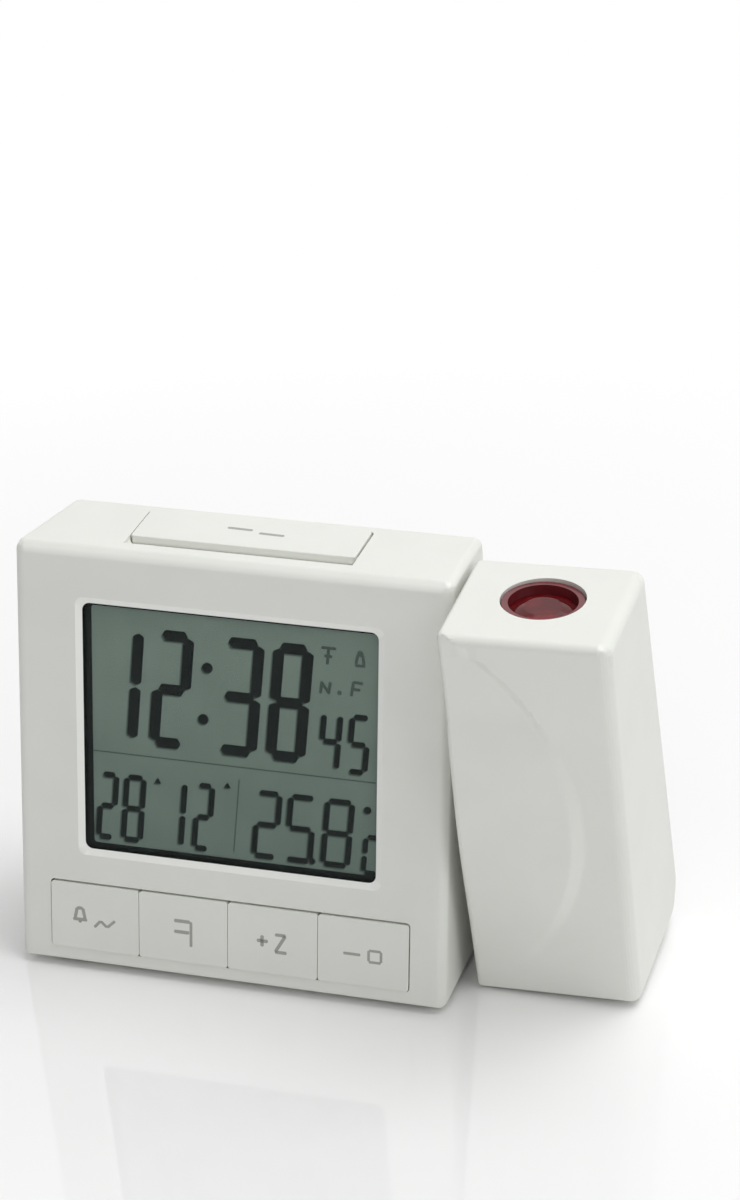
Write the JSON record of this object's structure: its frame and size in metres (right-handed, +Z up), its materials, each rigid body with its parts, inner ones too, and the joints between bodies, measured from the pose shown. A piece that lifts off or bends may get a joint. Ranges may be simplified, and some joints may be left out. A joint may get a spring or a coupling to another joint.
{
  "type": "projection alarm clock",
  "caption": "White wedge-shaped alarm clock with a large display, keys along its foot, a snooze bar on top and a projector arm that swings back on a shaft at its right side.",
  "frame": {"origin": "centre of the footprint's bounding rectangle, on the surface that the clock stands on", "axes": "+X to the clock's right as seen from the front, +Y to its back, +Z up"},
  "size_m": [0.1289, 0.0549, 0.091],
  "materials": {
    "case_plastic": "fine satin, moulded",
    "clear_window": "polished clear acrylic",
    "display_glass": "satin polariser film on glass",
    "white_plastic": "moulded",
    "black_plastic": "moulded",
    "dark_red_plastic": "moulded",
    "circuit_board": "solder mask",
    "steel": "nickel plated",
    "ferrite": "ground ceramic",
    "copper_wire": "enamelled wire",
    "brass": "rolled sheet",
    "sensor_resin": "dipped resin",
    "battery_jacket": "shrunk film",
    "rubber": "moulded",
    "wire_jacket": "extruded",
    "red_resin": "cast resin",
    "lens_glass": "polished",
    "red_lens": "polished"
  },
  "bodies": {
    "clock_body": {"front_housing": "case_plastic", "rear_cover": "case_plastic", "display_window": "clear_window", "display_frame": "white_plastic", "lcd_glass": "display_glass", "light_guide": "white_plastic", "contact_strip": "rubber", "main_board": "circuit_board", "controller_chip": "black_plastic", "clock_crystal": "steel", "backlight_led": "white_plastic", "key_switches": "black_plastic", "snooze_switch": "black_plastic", "reset_switch": "black_plastic", "board_screws": "steel", "aerial_rod": "ferrite", "aerial_coil": "copper_wire", "buzzer": "brass", "temperature_sensor": "sensor_resin", "battery_lower": "battery_jacket", "battery_upper": "battery_jacket", "battery_springs": "steel", "battery_plates": "steel", "power_jack": "black_plastic", "rubber_feet": "rubber", "cover_screws": "steel", "friction_ring": "rubber", "lead_socket": "white_plastic", "projector_lead": "wire_jacket"},
    "projector_arm": {"arm_cover": "case_plastic", "arm_side_plate": "case_plastic", "pivot_washer": "steel", "pivot_screws": "steel", "arm_screws": "steel", "optical_tube": "black_plastic", "projector_board": "circuit_board", "arm_leads": "wire_jacket", "led_board": "circuit_board", "projector_led": "red_resin", "condenser_lens": "lens_glass", "projection_lcd": "display_glass"},
    "focus_wheel": {"focus_wheel": "black_plastic"},
    "lens_barrel": {"lens_barrel": "dark_red_plastic", "projection_lens": "red_lens"},
    "snooze_bar": {"snooze_bar": "case_plastic"},
    "alarm_key": {"alarm_key": "case_plastic"},
    "mode_key": {"mode_key": "case_plastic"},
    "up_key": {"up_key": "case_plastic"},
    "down_key": {"down_key": "case_plastic"},
    "reset_key": {"reset_key": "black_plastic"},
    "battery_door": {"battery_door": "case_plastic"}
  },
  "joints": [
    {"name": "arm_swivel", "type": "hinge", "parent": "clock_body", "child": "projector_arm", "pos_m": [0.02722, 0.00923, 0.046], "axis": [-1, 0, 0], "range_deg": [0, 90]},
    {"name": "snooze_press", "type": "slide", "parent": "clock_body", "child": "snooze_bar", "axis": [0, 0, -1], "range_m": [0, 0.0008], "stiffness_N_per_m": 1000, "springref_m": -0.0008},
    {"name": "alarm_key_press", "type": "slide", "parent": "clock_body", "child": "alarm_key", "axis": [0, 0.989, -0.1478], "range_m": [0, 0.0005], "stiffness_N_per_m": 800, "springref_m": -0.0005},
    {"name": "mode_key_press", "type": "slide", "parent": "clock_body", "child": "mode_key", "axis": [0, 0.989, -0.1478], "range_m": [0, 0.0005], "stiffness_N_per_m": 800, "springref_m": -0.0005},
    {"name": "up_key_press", "type": "slide", "parent": "clock_body", "child": "up_key", "axis": [0, 0.989, -0.1478], "range_m": [0, 0.0005], "stiffness_N_per_m": 800, "springref_m": -0.0005},
    {"name": "down_key_press", "type": "slide", "parent": "clock_body", "child": "down_key", "axis": [0, 0.989, -0.1478], "range_m": [0, 0.0005], "stiffness_N_per_m": 800, "springref_m": -0.0005},
    {"name": "reset_press", "type": "slide", "parent": "clock_body", "child": "reset_key", "axis": [0, -0.9884, -0.1521], "range_m": [0, 0.0006], "stiffness_N_per_m": 600, "springref_m": -0.0005},
    {"name": "door_hinge", "type": "hinge", "parent": "clock_body", "child": "battery_door", "pos_m": [-0.01373, 0.02434, 0.00981], "axis": [-1, 0, 0], "range_deg": [0, 80]},
    {"name": "focus_turn", "type": "hinge", "parent": "projector_arm", "child": "focus_wheel", "pos_m": [0.05652, 0.00303, 0.072], "axis": [1, 0, 0], "range_deg": [0, 64]},
    {"name": "barrel_slide", "type": "slide", "parent": "projector_arm", "child": "lens_barrel", "axis": [0, -0.0436, 0.999], "range_m": [-0.00301, 0]}
  ],
  "couplings": [
    {"joint": "focus_turn", "follows": "barrel_slide", "rad_per_m": -370.37}
  ]
}
